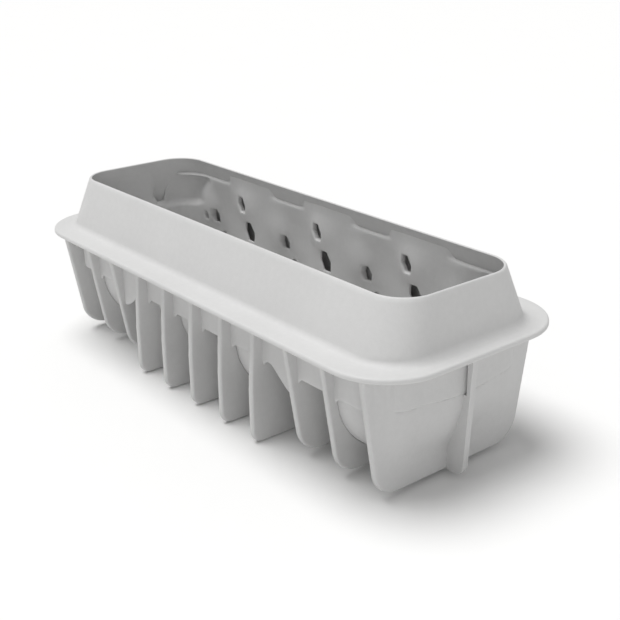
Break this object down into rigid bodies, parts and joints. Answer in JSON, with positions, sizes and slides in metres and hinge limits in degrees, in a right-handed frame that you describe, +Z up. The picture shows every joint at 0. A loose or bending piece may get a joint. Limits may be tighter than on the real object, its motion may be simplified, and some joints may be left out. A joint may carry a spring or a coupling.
{
  "type": "egg carton",
  "caption": "Ribbed open egg carton: a lift-off collar with a flange over a scalloped cell tray, held in a cradle of thin cross plates on a keel.",
  "frame": {"origin": "centre of the footprint, on the plane the carton stands on", "axes": "+X along the row of cells, +Y across it, +Z up"},
  "size_m": [0.2064, 0.0836, 0.0642],
  "materials": {
    "collar_plastic": "smooth moulded polypropylene, matte, light grey",
    "tray_plastic": "smooth moulded polypropylene, matte, light grey",
    "cradle_plastic": "smooth moulded polypropylene, matte, light grey"
  },
  "bodies": {
    "cradle": {"neck_band": "cradle_plastic", "keel": "cradle_plastic", "rib_01": "cradle_plastic", "rib_02": "cradle_plastic", "rib_03": "cradle_plastic", "rib_04": "cradle_plastic", "rib_05": "cradle_plastic", "rib_06": "cradle_plastic", "rib_07": "cradle_plastic", "rib_08": "cradle_plastic", "rib_09": "cradle_plastic", "rib_10": "cradle_plastic", "rib_11": "cradle_plastic"},
    "tray": {"cell_tray": "tray_plastic"},
    "cover": {"collar": "collar_plastic"}
  },
  "joints": [
    {"name": "tray_lift", "type": "slide", "parent": "cradle", "child": "tray", "axis": [0, 0, 1], "range_m": [0, 0.05]},
    {"name": "collar_lift", "type": "slide", "parent": "tray", "child": "cover", "axis": [0, 0, 1], "range_m": [0, 0.025]}
  ]
}
